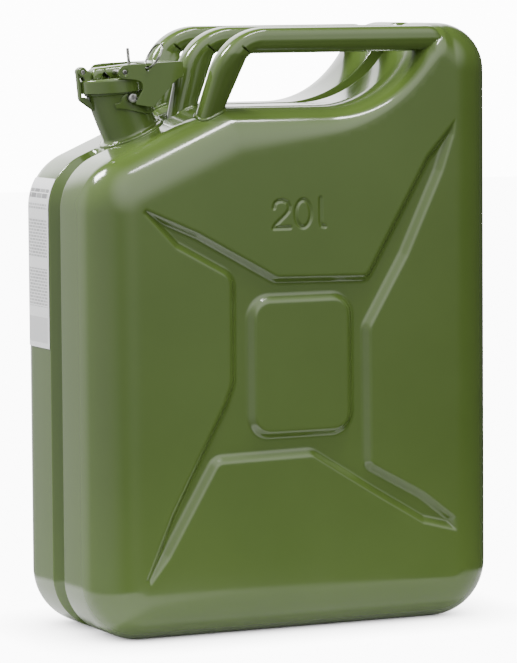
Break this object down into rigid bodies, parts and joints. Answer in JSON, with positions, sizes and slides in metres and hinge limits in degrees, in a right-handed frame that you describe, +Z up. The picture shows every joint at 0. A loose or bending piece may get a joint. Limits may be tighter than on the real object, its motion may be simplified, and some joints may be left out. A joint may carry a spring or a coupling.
{
  "type": "metal jerry can",
  "caption": "Flat-sided steel fuel can with a pressed cross on each wide face, parallel carrying handles, a short neck and a hinged lid held down by a locking lever.",
  "frame": {"origin": "middle of the bounding box's lower face, on the ground plane", "axes": "+X from the neck to the back of the handles, -Y out of the front wide face, +Z up"},
  "size_m": [0.3456, 0.165, 0.472],
  "materials": {
    "enamel": "gloss",
    "zinc": "satin",
    "seal": "matt",
    "paper": "satin"
  },
  "bodies": {
    "can": {"front_shell": "enamel", "rear_shell": "enamel", "weld_seam": "enamel", "handle_front": "enamel", "handle_middle": "enamel", "handle_rear": "enamel", "neck": "enamel", "breather_tube": "zinc", "hinge_bracket": "enamel", "hinge_pin": "zinc", "locking_strap": "enamel", "lock_lug_front": "zinc", "lock_lug_rear": "zinc", "label": "paper"},
    "lid": {"lid": "enamel", "seal_plate": "zinc", "gasket": "seal", "lid_rivet": "zinc", "lid_bridge": "enamel", "lever_pivot_pin": "zinc"},
    "lever": {"lever": "enamel"},
    "safety_pin": {"safety_pin": "zinc"},
    "split_ring": {"split_ring": "zinc"}
  },
  "joints": [
    {"name": "lid_hinge", "type": "hinge", "parent": "can", "child": "lid", "pos_m": [-0.14909, 0, 0.4369], "axis": [0, -1, 0], "range_deg": [0, 100]},
    {"name": "lever_turn", "type": "hinge", "parent": "lid", "child": "lever", "pos_m": [-0.12427, 0, 0.43687], "axis": [0, -1, 0], "range_deg": [0, 90]},
    {"name": "safety_pin_pull", "type": "slide", "parent": "lid", "child": "safety_pin", "axis": [-0.0958, 0, 0.9954], "range_m": [0, 0.02]},
    {"name": "ring_swing", "type": "hinge", "parent": "lever", "child": "split_ring", "pos_m": [-0.10544, -0.028, 0.43949], "axis": [0, -1, 0], "range_deg": [-12, 100]}
  ],
  "couplings": [
    {"joint": "lever_turn", "follows": "lid_hinge", "ratio": 0.9}
  ]
}
